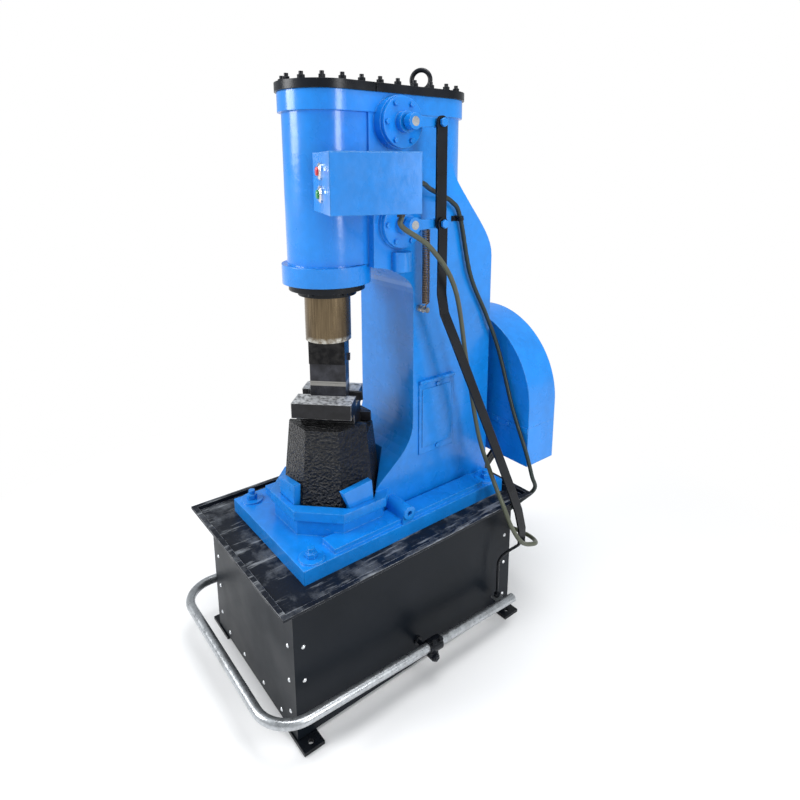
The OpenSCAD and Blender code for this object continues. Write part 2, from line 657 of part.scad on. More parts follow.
module treadle_collars() {
    color([0.06, 0.06, 0.07]) treadle_axes() both_x() {
        difference() {
            union() {
                translate([treadle_x, -16, 28]) rotate([-90, 0, 0]) cylinder(r = 25, h = 56, $fn = 48);
                translate([treadle_x - collar_half, 0, 0]) rotate([0, 90, 0]) cylinder(r = 17, h = 2 * collar_half, $fn = 48);
                translate([treadle_x - collar_half + 3, -17, 0]) cube([2 * collar_half - 6, 34, 14]);
            }
            translate([treadle_x, -40, 28]) rotate([-90, 0, 0]) cylinder(r = pipe_r, h = 100, $fn = 40);
            translate([treadle_x - 30, 0, 0]) rotate([0, 90, 0]) cylinder(r = 8 + run_fit, h = 60, $fn = 48);
        }
        for (y = [-4, 28]) translate([treadle_x, y, 28]) rotate([0, 35, 0]) {
            translate([0, 0, 24]) cylinder(r = 6, h = 8, $fn = 24);
            translate([0, 0, 30]) hex(9, 8);
        }
    }
}
module treadle_pivot_bolts() {
    color([0.10, 0.10, 0.11]) both_x() {
        along_x(base_x - 12, pivot_y, pivot_z) cylinder(r = 8, h = treadle_x + collar_half + 12 - (base_x - 12), $fn = 48);
        along_x(base_x, pivot_y, pivot_z) hex(16, 9);
        along_x(treadle_x - collar_half - 0.3 - 12, pivot_y, pivot_z) cylinder(r = 13, h = 12, $fn = 32);
        along_x(treadle_x + collar_half + 0.3, pivot_y, pivot_z) hex(14, 9);
    }
}

module button_places() { for (z = [120, 55]) translate([-box_w / 2, box_d / 2, z]) rotate([0, -90, 0]) children(); }
module control_box() {
    color([0.12, 0.53, 0.92]) box_axes() difference() {
        block(-box_w / 2, box_w / 2, 0, box_d, 0, box_h);
        block(-box_w / 2 + 2, box_w / 2 - 2, 2, box_d - 2, 2, box_h + 5);
        button_places() translate([0, 0, -10]) cylinder(r = button_r + 3 + bolt_fit, h = 20);
        box_gland_places() cylinder(r = 12 + bolt_fit, h = 30, center = true);
    }
}
module box_gland_places() {
    translate([104, 100, 0]) rotate([180, 0, 0]) children();
    translate([box_w / 2, 150, 85]) rotate([0, 90, 0]) children();
}
module control_box_lid() {
    color([0.13, 0.55, 0.94]) box_axes() difference() {
        union() {
            block(-box_w / 2, box_w / 2, 0, box_d, box_h, box_h + 2);
            block(-box_w / 2 + 2.5, box_w / 2 - 2.5, 2.5, box_d - 2.5, box_h - 12, box_h + e);
        }
        block(-box_w / 2 + 4, box_w / 2 - 4, 4, box_d - 4, box_h - 13, box_h);
    }
}
module button_bezels() {
    color([0.80, 0.81, 0.83]) box_axes() button_places() difference() {
        union() {
            cylinder(r = 26, h = 5);
            translate([0, 0, 5 - e]) cylinder(r1 = 24, r2 = 20, h = 4);
            translate([0, 0, -20]) cylinder(r = button_r + 3, h = 21);
        }
        translate([0, 0, -18]) cylinder(r = button_r + move_gap, h = 40);
    }
}
module push_button(i) {
    box_axes() translate([-box_w / 2, box_d / 2, i == 0 ? 120 : 55]) rotate([0, -90, 0]) {
        translate([0, 0, -9]) cylinder(r = button_r, h = 22);
        translate([0, 0, 13 - e]) cylinder(r1 = button_r, r2 = button_r - 2, h = 2);
    }
}
module red_button() { color([0.85, 0.07, 0.05]) push_button(0); }
module green_button() { color([0.10, 0.60, 0.15]) push_button(1); }
module gland() {
    difference() {
        union() {
            translate([0, 0, -10]) cylinder(r = 12, h = 12, $fn = 40);
            hex(17, 7);
            translate([0, 0, 6]) cylinder(r = 12.5, h = 9, $fn = 40);
        }
        translate([0, 0, -20]) cylinder(r = 9.2, h = 50, $fn = 40);
    }
}
module cable_glands() {
    color([0.20, 0.20, 0.21]) {
        box_axes() box_gland_places() gland();
        gland_places() gland();
    }
}

module motor_axes() { along_y(-motor_x, 0, motor_z) children(); }
module motor_shell() {
    color([0.13, 0.45, 0.75]) difference() {
        union() {
            motor_axes() {
                translate([0, 0, 84]) cylinder(r = motor_r - 5, h = 70);
                translate([0, 0, 150]) cylinder(r = motor_r - 13, h = 290);
                for (a = [0:15:345]) rotate(a) translate([motor_r - 16, -2, 150]) cube([15, 4, 282]);
                translate([0, 0, 430]) cylinder(r = motor_r - 22, h = 34);
            }
            block(-motor_x - 102, -motor_x + 102, 196, 404, 128, 148);
            block(-motor_x - 60, -motor_x + 60, 210, 390, 140, 180);
            block(-motor_x - 45, -motor_x + 45, 232, 340, motor_z + 90, motor_z + motor_r + 34);
        }
        motor_axes() {
            translate([0, 0, 90]) cylinder(r = motor_r - 9, h = 54);
            translate([0, 0, 158]) cylinder(r = 70, h = 270);
            translate([0, 0, 120]) cylinder(r = 19 + run_fit, h = 400);
            for (r = [30, 55, 80], a = [0:36:324]) rotate(a) translate([r, 0, 80]) cylinder(r = 5, h = 20, $fn = 24);
        }
    }
}
module motor_rotor() {
    color([0.50, 0.51, 0.53]) motor_axes() {
        translate([0, 0, 98]) cylinder(r = 19, h = 574);
        translate([0, 0, 190]) cylinder(r = 68, h = 200);
        translate([0, 0, 104]) cylinder(r = 34, h = 28);
        for (a = [0:60:300]) rotate(a) translate([30, -2, 104]) cube([60, 4, 28]);
    }
}
module motor_rails() {
    color([0.09, 0.09, 0.10]) for (y = [222, 352]) difference() {
        block(-motor_x - 112, -motor_x + 112, y, y + 40, foot_plate_t + 12, 128);
        block(-motor_x - 120, -motor_x + 120, y + 6, y + 34, foot_plate_t + 12 - 1, 122);
    }
}
module plate_y(y0, y1) { translate([0, y1, 0]) rotate([90, 0, 0]) linear_extrude(y1 - y0) children(); }
module pulley(r, hub_r, bore, y0, y1) {
    translate([0, 0, y0]) rotate_extrude() polygon(concat(
        [[bore, -8], [hub_r, -8], [hub_r, 0], [r, 0]],
        [for (y = belt_y) each [[r, y - y0 - 9.3], [r - 13, y - y0 - 8.9], [r - 13, y - y0 + 8.9], [r, y - y0 + 9.3]]],
        [[r, y1 - y0], [hub_r, y1 - y0], [hub_r, y1 - y0 + 12], [bore, y1 - y0 + 12]]));
}
module crank_pulley() {
    color([0.30, 0.31, 0.33]) along_y(0, 0, crank_z) difference() {
        pulley(big_pulley_r, 62, 34, 588, 656);
        for (a = [0:72:288]) rotate(a) translate([140, 0, 500]) cylinder(r = 46, h = 300);
    }
}
module motor_pulley() { color([0.30, 0.31, 0.33]) motor_axes() pulley(small_pulley_r, 34, 19, 588, 656); }
module belt_loop(k) {
    c1 = [0, crank_z];
    c2 = [-motor_x, motor_z];
    r1 = big_pulley_r - k;
    r2 = small_pulley_r - k;
    d = norm(c2 - c1);
    phi = atan2(c2[1] - c1[1], c2[0] - c1[0]);
    b = acos((r1 - r2) / d);
    na = [cos(phi + b), sin(phi + b)];
    nb = [cos(phi - b), sin(phi - b)];
    translate(c1) circle(r1, $fn = 120);
    translate(c2) circle(r2, $fn = 120);
    polygon([c1 + r1 * na, c2 + r2 * na, c2 + r2 * nb, c1 + r1 * nb]);
}
module drive_belts() {
    color([0.05, 0.05, 0.05]) for (y = belt_y) plate_y(y - 8.5, y + 8.5) difference() {
        belt_loop(0.6);
        belt_loop(12);
    }
}
module crank_bearings() {
    color([0.70, 0.60, 0.35]) for (y = [378, 500]) along_y(0, y, crank_z) difference() {
        cylinder(r = 62, h = 40);
        translate([0, 0, -1]) cylinder(r = 38 + run_fit, h = 50);
    }
}
module crankshaft() {
    color([0.48, 0.49, 0.51]) {
        along_y(0, 361, crank_z) cylinder(r = 38, h = 190);
        along_y(0, 550, crank_z) cylinder(r = 34, h = 134);
        plate_y(326, 362) {
            translate([0, crank_z]) circle(62);
            translate([0, crank_z - crank_r]) circle(36);
            polygon([[-60, crank_z - 14], [60, crank_z - 14], [35, crank_z - crank_r - 8], [-35, crank_z - crank_r - 8]]);
            intersection() {
                translate([0, crank_z]) circle(118);
                translate([-80, crank_z + 25]) square([160, 175]);
            }
        }
    }
}
module compressor_piston() {
    color([0.45, 0.46, 0.48]) difference() {
        translate([0, comp_y, wrist_z - 110]) rotate_extrude() polygon(concat([[0, 0]],
            [[bore_r - run_fit, 0], [bore_r - run_fit, 205]],
            [for (z = [205, 222, 239]) each [[bore_r - run_fit, z], [bore_r - 4, z], [bore_r - 4, z + 5],
                [bore_r - run_fit, z + 5]]],
            [[bore_r - run_fit, 272], [bore_r - 3, 275], [0, 275]]));
        difference() {
            translate([0, comp_y, wrist_z - 111]) cylinder(r = 84, h = 240);
            for (s = [-1, 1]) along_y(0, comp_y + s * 60 - 30, wrist_z) cylinder(r = 38, h = 60);
        }
        along_y(0, comp_y - 110, wrist_z) cylinder(r = 22, h = 220);
    }
}
module wrist_pin() { color([0.65, 0.66, 0.68]) along_y(0, comp_y - 92, wrist_z) cylinder(r = 22, h = 184); }
module connecting_rod() {
    color([0.42, 0.43, 0.45]) difference() {
        union() {
            plate_y(comp_y - 25, comp_y + 25) {
                translate([0, wrist_z]) circle(36);
                translate([0, wrist_z - rod_len]) circle(43);
            }
            plate_y(comp_y - 14, comp_y + 14)
                polygon([[-20, wrist_z - 20], [20, wrist_z - 20], [27, wrist_z - rod_len + 20], [-27, wrist_z - rod_len + 20]]);
        }
        along_y(0, comp_y - 40, wrist_z) cylinder(r = 22 + run_fit, h = 80);
        along_y(0, comp_y - 40, wrist_z - rod_len) cylinder(r = 28, h = 80);
    }
}
module crank_pin() { color([0.65, 0.66, 0.68]) along_y(0, comp_y - 28, wrist_z - rod_len) cylinder(r = 28, h = 64 - move_gap); }

module guard_outline(k) {
    intersection() {
        union() {
            translate([0, guard_cz]) circle(guard_r - k, $fn = 120);
            translate([k - guard_r, guard_z0 - 50]) square([2 * (guard_r - k), guard_cz - guard_z0 + 50]);
        }
        translate([-400, guard_z0]) square([800, 800]);
    }
}
module belt_guard() {
    difference() {
        plate_y(guard_y0, guard_y1) guard_outline(0);
        plate_y(guard_y0 + 2.5, guard_y1 - 2.5) guard_outline(2.5);
        block(-200, 200, guard_y0 + 2.5, guard_y1 - 2.5, guard_z0 - 5, guard_z0 + 5);
        along_y(0, guard_y0 - 5, crank_z) cylinder(r = 60, h = 10);
        guard_screw_places() translate([0, 0, -10]) cylinder(r = 4 + bolt_fit, h = 30, $fn = 24);
    }
}
module guard_screw_places() { both_x() for (x = [185, 245]) along_y(x, guard_y0, guard_seam_z - 12) rotate([180, 0, 0]) children(); }
module belt_guard_upper() {
    color([0.14, 0.55, 0.94]) {
        intersection() {
            belt_guard();
            block(-500, 500, 0, 900, guard_seam_z, 1400);
        }
        both_x() along_y(110, col_rear_y, crank_z + 150) cylinder(r = 14, h = guard_y0 - col_rear_y + 1);
    }
}
module belt_guard_lower() {
    color([0.13, 0.53, 0.92]) {
        intersection() {
            belt_guard();
            block(-500, 500, 0, 900, 0, guard_seam_z);
        }
        difference() {
            block(-guard_r + 3, guard_r - 3, guard_y0 - 2, guard_y0 + e, guard_seam_z - 24, guard_seam_z);
            guard_screw_places() translate([0, 0, -10]) cylinder(r = 4 + bolt_fit, h = 30, $fn = 24);
            along_y(0, guard_y0 - 15, crank_z) cylinder(r = 130, h = 30);
        }
        both_x() along_y(110, col_rear_y, crank_z - 210) cylinder(r = 14, h = guard_y0 - col_rear_y + 1);
    }
}
module guard_screws() {
    color([0.14, 0.5, 0.85]) guard_screw_places() {
        translate([0, 0, -8]) cylinder(r = 4, h = 11, $fn = 24);
        translate([0, 0, 2]) cylinder(r = 8, h = 5, $fn = 24);
    }
}

function cr(a, b, c, d, t) = 0.5 * ((2 * b) + (c - a) * t + (2 * a - 5 * b + 4 * c - d) * t * t
    + (3 * b - a - 3 * c + d) * t * t * t);
function smooth(p, per) = concat([for (i = [0:len(p) - 2]) for (k = [0:per - 1])
    cr(p[max(i - 1, 0)], p[i], p[i + 1], p[min(i + 2, len(p) - 1)], k / per)], [p[len(p) - 1]]);
conduit_r = 8.5;
power_path = [[341, -84, 1671], [342, -80, 1640], [330, 50, 1560], [302, 184, 1405], [262, 285, 1121],
    [252, 370, 800], [325, 372, 655], [396, 372, 545], [418, 400, 455], [424, 460, 370],
    [410, 560, 320], [340, 600, 300], [250, 580, 300], [230, 515, 300]];
motor_path = [[310, -22, 1772], [285, 48, 1768], [220, 140, 1745], [200, 255, 1700], [181, 317, 1640],
    [181, 377, 1420], [181, 470, 1250], [200, 530, 1095], [275, 540, 870], [352, 540, 710],
    [372, 562, 602], [362, 596, 530], [290, 606, 440], [190, 575, 320], [170, 515, 300]];
module power_conduit() { color([0.45, 0.50, 0.42]) sweep(smooth(power_path, 3), conduit_r, 8, [0, 1, 0.2]); }
module motor_conduit() { color([0.08, 0.20, 0.15]) sweep(smooth(motor_path, 2), conduit_r, 8, [0, 1, 0.2]); }
module conduit_clip() {
    color([0.10, 0.10, 0.11]) {
        difference() {
            union() {
                translate([181, 318, 1636]) rotate([14, 2, 0]) cylinder(r = 13, h = 14, center = true, $fn = 32);
                block(col_x, col_x + 3, 288, 320, 1626, 1646);
                block(col_x, 174, 308, 324, 1630, 1642);
            }
            translate([181, 318, 1636]) rotate([14, 2, 0]) cylinder(r = 10, h = 40, center = true, $fn = 32);
        }
        along_x(col_x + 2, 297, 1636) hex(7, 6);
    }
}

module ram() {
    color([0.42, 0.36, 0.28]) {
        difference() {
            union() {
                translate([0, ram_y, rod_bot_z]) cylinder(r = rod_r, h = 1500 - rod_bot_z);
                translate([0, ram_y, 1492]) rotate_extrude() polygon(concat([[0, 0], [bore_r - run_fit, 0]],
                    [for (z = [20, 40, 100, 120]) each [[bore_r - run_fit, z], [bore_r - 4, z], [bore_r - 4, z + 6],
                        [bore_r - run_fit, z + 6]]],
                    [[bore_r - run_fit, 152], [bore_r - 5, 158], [0, 158]]));
            }
            translate([0, ram_y, 1330]) cylinder(r = 46, h = 400);
        }
        die_axes() difference() {
            block(-die_l / 2, die_l / 2, -38, 38, die_top_z, rod_bot_z + e);
            rotate([90, 0, 90]) linear_extrude(200, center = true)
                polygon([[-14, die_top_z - 1], [-14, die_top_z], [-20, die_top_z + 27], [28, die_top_z + 27],
                    [22, die_top_z], [22, die_top_z - 1]]);
        }
    }
}
module upper_die() {
    color([0.20, 0.20, 0.22]) die_axes() {
        block(-die_l / 2, die_l / 2, -die_w / 2, die_w / 2, die_z, die_top_z);
        rotate([90, 0, 90]) linear_extrude(die_l, center = true)
            polygon([[-14, die_top_z - 1], [-14, die_top_z], [-14 - 26 * ram_dove, die_top_z + 26],
                [14 + 26 * ram_dove, die_top_z + 26], [14, die_top_z], [14, die_top_z - 1]]);
    }
}
module upper_die_key() {
    color([0.25, 0.25, 0.27]) die_axes() rotate([90, 0, 90]) translate([0, 0, -62]) linear_extrude(134)
        polygon([[14 + ram_dove + key_fit, die_top_z + 1], [22 + ram_dove - key_fit, die_top_z + 1],
            [22 + 26 * ram_dove - key_fit, die_top_z + 26], [14 + 26 * ram_dove + key_fit, die_top_z + 26]]);
}

base_frame();
base_panels();
base_tray();
panel_rivets();
frame_casting();
front_cylinder_cover();
rear_cylinder_cover();
cover_studs();
lifting_eye();
ram_guide_cover();
ram_guide_bush();
guide_cover_bolts();
anvil();
anvil_wedges();
sow_block();
die_keys();
lower_die();
casting_studs();
inspection_cover();
inspection_bolts();
valve_covers();
valve_cover_bolts();
spring_anchor();
treadle_pivot_bolts();
control_box();
control_box_lid();
button_bezels();
cable_glands();
motor_shell();
motor_rails();
crank_bearings();
belt_guard_upper();
belt_guard_lower();
guard_screws();
drive_belts();
power_conduit();
motor_conduit();
conduit_clip();
ram();
upper_die();
upper_die_key();
crankshaft();
crank_pulley();
motor_rotor();
motor_pulley();
compressor_piston();
wrist_pin();
connecting_rod();
crank_pin();
upper_valve();
lower_valve();
upper_lever();
lower_lever();
link_bar();
operating_bar();
return_spring();
treadle();
treadle_collars();
red_button();
green_button();
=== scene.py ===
"""Looks of an air forging hammer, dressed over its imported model."""
import json
import math

import bpy
from mathutils import Matrix, Vector


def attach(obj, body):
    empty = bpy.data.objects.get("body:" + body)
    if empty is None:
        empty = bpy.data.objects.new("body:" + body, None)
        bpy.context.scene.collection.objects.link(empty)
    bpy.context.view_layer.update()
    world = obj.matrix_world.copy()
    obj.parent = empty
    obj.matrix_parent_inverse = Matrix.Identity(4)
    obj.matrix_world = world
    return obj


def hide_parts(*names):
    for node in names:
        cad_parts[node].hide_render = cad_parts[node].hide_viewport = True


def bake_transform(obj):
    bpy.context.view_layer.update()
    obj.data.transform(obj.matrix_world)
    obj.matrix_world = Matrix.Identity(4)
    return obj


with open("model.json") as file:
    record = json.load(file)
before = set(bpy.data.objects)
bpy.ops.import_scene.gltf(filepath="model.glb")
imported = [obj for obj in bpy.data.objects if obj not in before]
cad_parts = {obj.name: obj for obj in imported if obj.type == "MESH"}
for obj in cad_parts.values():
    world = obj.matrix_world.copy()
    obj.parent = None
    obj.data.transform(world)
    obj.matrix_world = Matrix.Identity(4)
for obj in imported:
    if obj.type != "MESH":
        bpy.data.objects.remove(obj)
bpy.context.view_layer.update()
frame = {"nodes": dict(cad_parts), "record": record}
nodes = frame["nodes"]
slot_of = {part["node"]: part["material_slot"] for part in frame["record"]["subparts"]}

# Camera, at the photograph's angle

PHOTO_SIZE = 800
FOCAL_PIXELS = 590.419
AXIS_PIXEL_Y = 300
SENSOR_WIDTH = 36.0
CAMERA_AZIMUTH = math.radians(51.6205)
CAMERA_ELEVATION = math.radians(12.5418)
CAMERA_ROLL = math.radians(-0.1249)
CAMERA_TARGET = Vector((0.0, 0.0, 1.0))
CAMERA_DISTANCE = 2.2405
CAMERA_ASIDE = 0.1401
CAMERA_RAISED = 0.3357


def make_camera():
    """The camera that was solved from the photograph."""
    flat = math.cos(CAMERA_ELEVATION)
    back = Vector((math.sin(CAMERA_AZIMUTH) * flat, -math.cos(CAMERA_AZIMUTH) * flat, math.sin(CAMERA_ELEVATION)))
    level = Vector((math.cos(CAMERA_AZIMUTH), math.sin(CAMERA_AZIMUTH), 0.0))
    upright = back.cross(level)
    right = math.cos(CAMERA_ROLL) * level + math.sin(CAMERA_ROLL) * upright
    up = math.cos(CAMERA_ROLL) * upright - math.sin(CAMERA_ROLL) * level
    place = CAMERA_TARGET + back * CAMERA_DISTANCE + right * CAMERA_ASIDE + up * CAMERA_RAISED
    data = bpy.data.cameras.new("camera")
    data.sensor_width = SENSOR_WIDTH
    data.lens = FOCAL_PIXELS / PHOTO_SIZE * SENSOR_WIDTH
    data.shift_y = (AXIS_PIXEL_Y - PHOTO_SIZE / 2) / PHOTO_SIZE
    camera = bpy.data.objects.new("camera", data)
    bpy.context.scene.collection.objects.link(camera)
    turned = Matrix((right, up, back)).transposed().to_4x4()
    camera.matrix_world = Matrix.Translation(place) @ turned
    bpy.context.scene.camera = camera


# Materials


class Look:
    """A procedural material, in object coordinates, so its scales are per metre."""

    def __init__(self, name, roughness, metallic=0.0, coat=0.0, specular=0.5):
        self.material = bpy.data.materials.new(name)
        self.material.use_nodes = True
        self.tree = self.material.node_tree
        self.shader = self.tree.nodes["Principled BSDF"]
        self.shader.inputs["Metallic"].default_value = metallic
        self.shader.inputs["Coat Weight"].default_value = coat
        self.shader.inputs["Coat Roughness"].default_value = 0.12
        self.shader.inputs["Specular IOR Level"].default_value = specular
        self.shader.inputs["Roughness"].default_value = roughness
        self.place = self.add("TexCoord").outputs["Object"]
        self.normal = None

    def add(self, kind, **settings):
        node = self.tree.nodes.new("ShaderNode" + kind)
        for key, value in settings.items():
            setattr(node, key, value)
        return node

    def link(self, source, target):
        self.tree.links.new(source, target)

    def where(self, stretch):
        """Coordinates that are scaled apart along X, Y and Z."""
        node = self.add("Mapping")
        node.inputs["Scale"].default_value = stretch
        self.link(self.place, node.inputs["Vector"])
        return node.outputs["Vector"]

    def noise(self, scale, detail=4.0, stretch=(1, 1, 1), rough=0.5):
        node = self.add("TexNoise")
        node.inputs["Scale"].default_value = scale
        node.inputs["Detail"].default_value = detail
        node.inputs["Roughness"].default_value = rough
        self.link(self.where(stretch), node.inputs["Vector"])
        return node.outputs["Fac"]

    def cells(self, scale):
        node = self.add("TexVoronoi")
        node.inputs["Scale"].default_value = scale
        self.link(self.place, node.inputs["Vector"])
        return node.outputs["Distance"]

    def span(self, value, low, high, to_low=0.0, to_high=1.0):
        node = self.add("MapRange")
        self.link(value, node.inputs["Value"])
        for key, number in zip(("From Min", "From Max", "To Min", "To Max"), (low, high, to_low, to_high)):
            node.inputs[key].default_value = number
        return node.outputs["Result"]

    def height(self, low, high):
        """0 below low and 1 above high, along Z, for the parts whose colour changes with height."""
        split = self.add("SeparateXYZ")
        self.link(self.place, split.inputs["Vector"])
        return self.span(split.outputs["Z"], low, high)

    def facing_up(self, low=0.6, high=0.9):
        """1 on faces that look up."""
        split = self.add("SeparateXYZ")
        self.link(self.add("NewGeometry").outputs["Normal"], split.inputs["Vector"])
        return self.span(split.outputs["Z"], low, high)

    def times(self, one, other):
        node = self.add("Math", operation="MULTIPLY")
        self.link(one, node.inputs[0])
        self.link(other, node.inputs[1])
        return node.outputs["Value"]

    def blend(self, factor, first, second):
        """Colour that goes from first to second; each is a colour or an output."""
        node = self.add("Mix", data_type="RGBA")
        self.link(factor, node.inputs[0])
        for socket, colour in ((node.inputs[6], first), (node.inputs[7], second)):
            if isinstance(colour, tuple):
                socket.default_value = (*colour, 1.0)
            else:
                self.link(colour, socket)
        return node.outputs[2]

    def soften(self, radius):
        """Rounds the shading of every edge, and gives a mask of the edges."""
        bevel = self.add("Bevel", samples=6)
        bevel.inputs["Radius"].default_value = radius
        flat = self.add("NewGeometry")
        dot = self.add("VectorMath", operation="DOT_PRODUCT")
        self.link(bevel.outputs["Normal"], dot.inputs[0])
        self.link(flat.outputs["Normal"], dot.inputs[1])
        self.normal = bevel.outputs["Normal"]
        return self.span(dot.outputs["Value"], 0.99, 0.80)

    def bump(self, height, depth, strength=1.0):
        node = self.add("Bump")
        node.inputs["Strength"].default_value = strength
        node.inputs["Distance"].default_value = depth
        self.link(height, node.inputs["Height"])
        if self.normal is not None:
            self.link(self.normal, node.inputs["Normal"])
        self.normal = node.outputs["Normal"]

    def done(self, colour, roughness=None):
        self.link(colour, self.shader.inputs["Base Color"])
        if roughness is not None:
            self.link(roughness, self.shader.inputs["Roughness"])
        if self.normal is not None:
            self.link(self.normal, self.shader.inputs["Normal"])
        return self.material


def shade(colour, factor):
    return tuple(min(1.0, part * factor) for part in colour)


def casting_paint(name, colour, edge_colour, roughness=0.28, coat=0.35, lumps=0.0009, edge_highlight=0.35):
    """Thick gloss paint on a filled casting, lighter along its edges as a painted highlight."""
    look = Look(name, roughness, coat=coat, specular=0.4)
    edge = look.soften(0.005)
    broad = look.span(look.noise(2.2, 3.0), 0.35, 0.65)
    base = look.blend(broad, shade(colour, 0.80), shade(colour, 1.06))
    mottle = look.span(look.noise(34.0, 5.0), 0.42, 0.72, 0.0, 0.35)
    base = look.blend(mottle, base, shade(colour, 1.2))
    runs = look.span(look.noise(9.0, 4.0, (1.0, 1.0, 0.16)), 0.52, 0.74, 0.0, 0.35)
    base = look.blend(runs, base, shade(colour, 0.62))
    # Painted highlight: the edges are lightened towards a lighter blue. This is not wear.
    wear_and_highlight = look.times(edge, look.span(look.noise(60.0, 5.0), 0.40, 0.62, 0.0, edge_highlight))
    base = look.blend(wear_and_highlight, base, edge_colour)
    look.bump(look.noise(14.0, 2.0), lumps * 2.2)
    look.bump(look.noise(150.0, 3.0), lumps * 0.22)
    gloss = look.span(look.noise(9.0, 4.0), 0.3, 0.7, roughness * 0.75, roughness * 1.35)
    return look.done(base, gloss)


def black_paint(name, colour, roughness, lumps, wear_colour=(0.16, 0.16, 0.17), wear=0.5):
    """Black paint, rubbed grey on its edges."""
    look = Look(name, roughness, specular=0.22)
    edge = look.soften(0.0022)
    base = look.blend(look.span(look.noise(7.0, 5.0), 0.35, 0.7), colour, shade(colour, 2.1))
    rubbed = look.times(edge, look.span(look.noise(90.0, 5.0), 0.42, 0.66, 0.0, wear))
    base = look.blend(rubbed, base, wear_colour)
    look.bump(look.noise(240.0, 4.0), lumps)
    return look.done(base, look.span(look.noise(18.0, 5.0), 0.3, 0.7, roughness * 0.75, roughness * 1.3))


def tray_paint():
    """Black paint that scale and oil have scratched grey along the channel."""
    look = Look("tray_black", 0.4, specular=0.22)
    edge = look.soften(0.002)
    dark = (0.004, 0.006, 0.011)
    patch = look.span(look.noise(11.0, 8.0, rough=0.65), 0.50, 0.72, 0.0, 0.8)
    base = look.blend(look.times(patch, look.facing_up()), dark, (0.13, 0.14, 0.155))
    scratch = look.span(look.noise(30.0, 8.0, (1.0, 0.12, 1.0), 0.7), 0.54, 0.64, 0.0, 0.75)
    base = look.blend(look.times(scratch, look.facing_up()), base, (0.30, 0.315, 0.33))
    rubbed = look.times(edge, look.span(look.noise(28.0, 6.0), 0.34, 0.60, 0.0, 0.95))
    base = look.blend(rubbed, base, (0.52, 0.54, 0.56))
    look.bump(look.noise(120.0, 6.0), 0.0006)
    return look.done(base, look.span(look.noise(26.0, 6.0), 0.3, 0.7, 0.26, 0.62))


def sheet_black():
    """Even satin black on rolled sheet."""
    look = Look("panel_black", 0.36, specular=0.14)
    look.soften(0.0012)
    base = look.blend(look.span(look.noise(2.0, 3.0), 0.3, 0.7), (0.003, 0.005, 0.008), (0.006, 0.009, 0.014))
    look.bump(look.noise(3.5, 1.0), 0.0012)
    look.bump(look.noise(520.0, 2.0), 0.00005)
    return look.done(base, look.span(look.noise(5.0, 4.0), 0.3, 0.7, 0.30, 0.44))


def rough_iron():
    """As-cast anvil iron, tarred glossy black, with sparkling facets."""
    look = Look("anvil_iron", 0.2, specular=0.5)
    edge = look.soften(0.003)
    base = look.blend(look.span(look.noise(60.0, 6.0), 0.4, 0.7), (0.001, 0.001, 0.0015), (0.007, 0.007, 0.008))
    base = look.blend(look.times(edge, look.span(look.noise(80.0), 0.45, 0.65, 0.0, 0.6)), base, (0.16, 0.16, 0.17))
    look.bump(look.cells(95.0), 0.012)
    look.bump(look.noise(170.0, 3.0, rough=0.6), 0.009)
    return look.done(base, look.span(look.noise(150.0, 4.0), 0.35, 0.7, 0.10, 0.30))


def forged(name, colour, edge_colour, wear, metallic=0.55, roughness=0.5, edge_radius=0.004, bright=None, top=0.0):
    """Scaled forged steel, bright where work has rubbed it; bright is a band of heights, top rubs the tops."""
    look = Look(name, roughness, metallic=metallic)
    edge = look.soften(edge_radius)
    base = look.blend(look.span(look.noise(26.0, 7.0, rough=0.6), 0.36, 0.68), shade(colour, 0.55), shade(colour, 1.5))
    rub = look.times(edge, look.span(look.noise(45.0, 6.0), 0.30, 0.58, 0.0, wear))
    base = look.blend(rub, base, edge_colour)
    if top:
        patchy = look.span(look.noise(70.0, 7.0, rough=0.65), 0.34, 0.56, 0.0, top)
        base = look.blend(look.times(patchy, look.facing_up()), base, edge_colour)
    if bright:
        band = look.times(look.height(bright[0] - 0.0005, bright[0] + 0.0005),
                          look.height(bright[1] + 0.0005, bright[1] - 0.0005))
        base = look.blend(band, base, shade(edge_colour, 0.8))
    look.bump(look.noise(180.0, 6.0), 0.0006)
    return look.done(base, look.span(look.noise(40.0, 6.0), 0.3, 0.7, roughness * 0.7, roughness * 1.3))


def turned(name, colour, roughness, stretch, tint=(0.30, 0.22, 0.14), stain=0.25):
    """Machined steel: fine tool marks, a little oil and rust."""
    look = Look(name, roughness, metallic=1.0)
    look.soften(0.0008)
    lines = look.noise(300.0, 3.0, stretch)
    base = look.blend(look.span(lines, 0.35, 0.65), shade(colour, 0.82), shade(colour, 1.12))
    base = look.blend(look.span(look.noise(16.0, 6.0), 0.48, 0.75, 0.0, stain), base, tint)
    look.bump(lines, 0.00006)
    return look.done(base, look.span(look.noise(30.0, 5.0), 0.3, 0.7, roughness * 0.75, roughness * 1.35))


def ram_look():
    """Brown oiled rod, bright at its lower edge, over a black foot."""
    look = Look("ram_steel", 0.24, metallic=0.75)
    look.soften(0.002)
    lines = look.noise(300.0, 3.0, (1.0, 1.0, 0.03))
    brown = look.blend(look.span(lines, 0.35, 0.65), (0.115, 0.082, 0.045), (0.19, 0.14, 0.08))
    brown = look.blend(look.span(look.noise(9.0, 6.0, (1, 1, 0.3)), 0.45, 0.75, 0.0, 0.8), brown, (0.035, 0.024, 0.016))
    patch = look.span(look.noise(45.0, 6.0), 0.36, 0.62)
    wear_and_highlight = look.times(look.height(1.2465, 1.2365), patch)
    brown = look.blend(wear_and_highlight, brown, (0.56, 0.55, 0.50))
    foot = look.blend(look.span(look.noise(40.0, 6.0), 0.4, 0.7), (0.006, 0.006, 0.007), (0.030, 0.029, 0.029))
    base = look.blend(look.height(1.2266, 1.2274), foot, brown)
    look.bump(lines, 0.00006)
    return look.done(base, look.span(look.noise(30.0, 5.0), 0.3, 0.7, 0.20, 0.38))


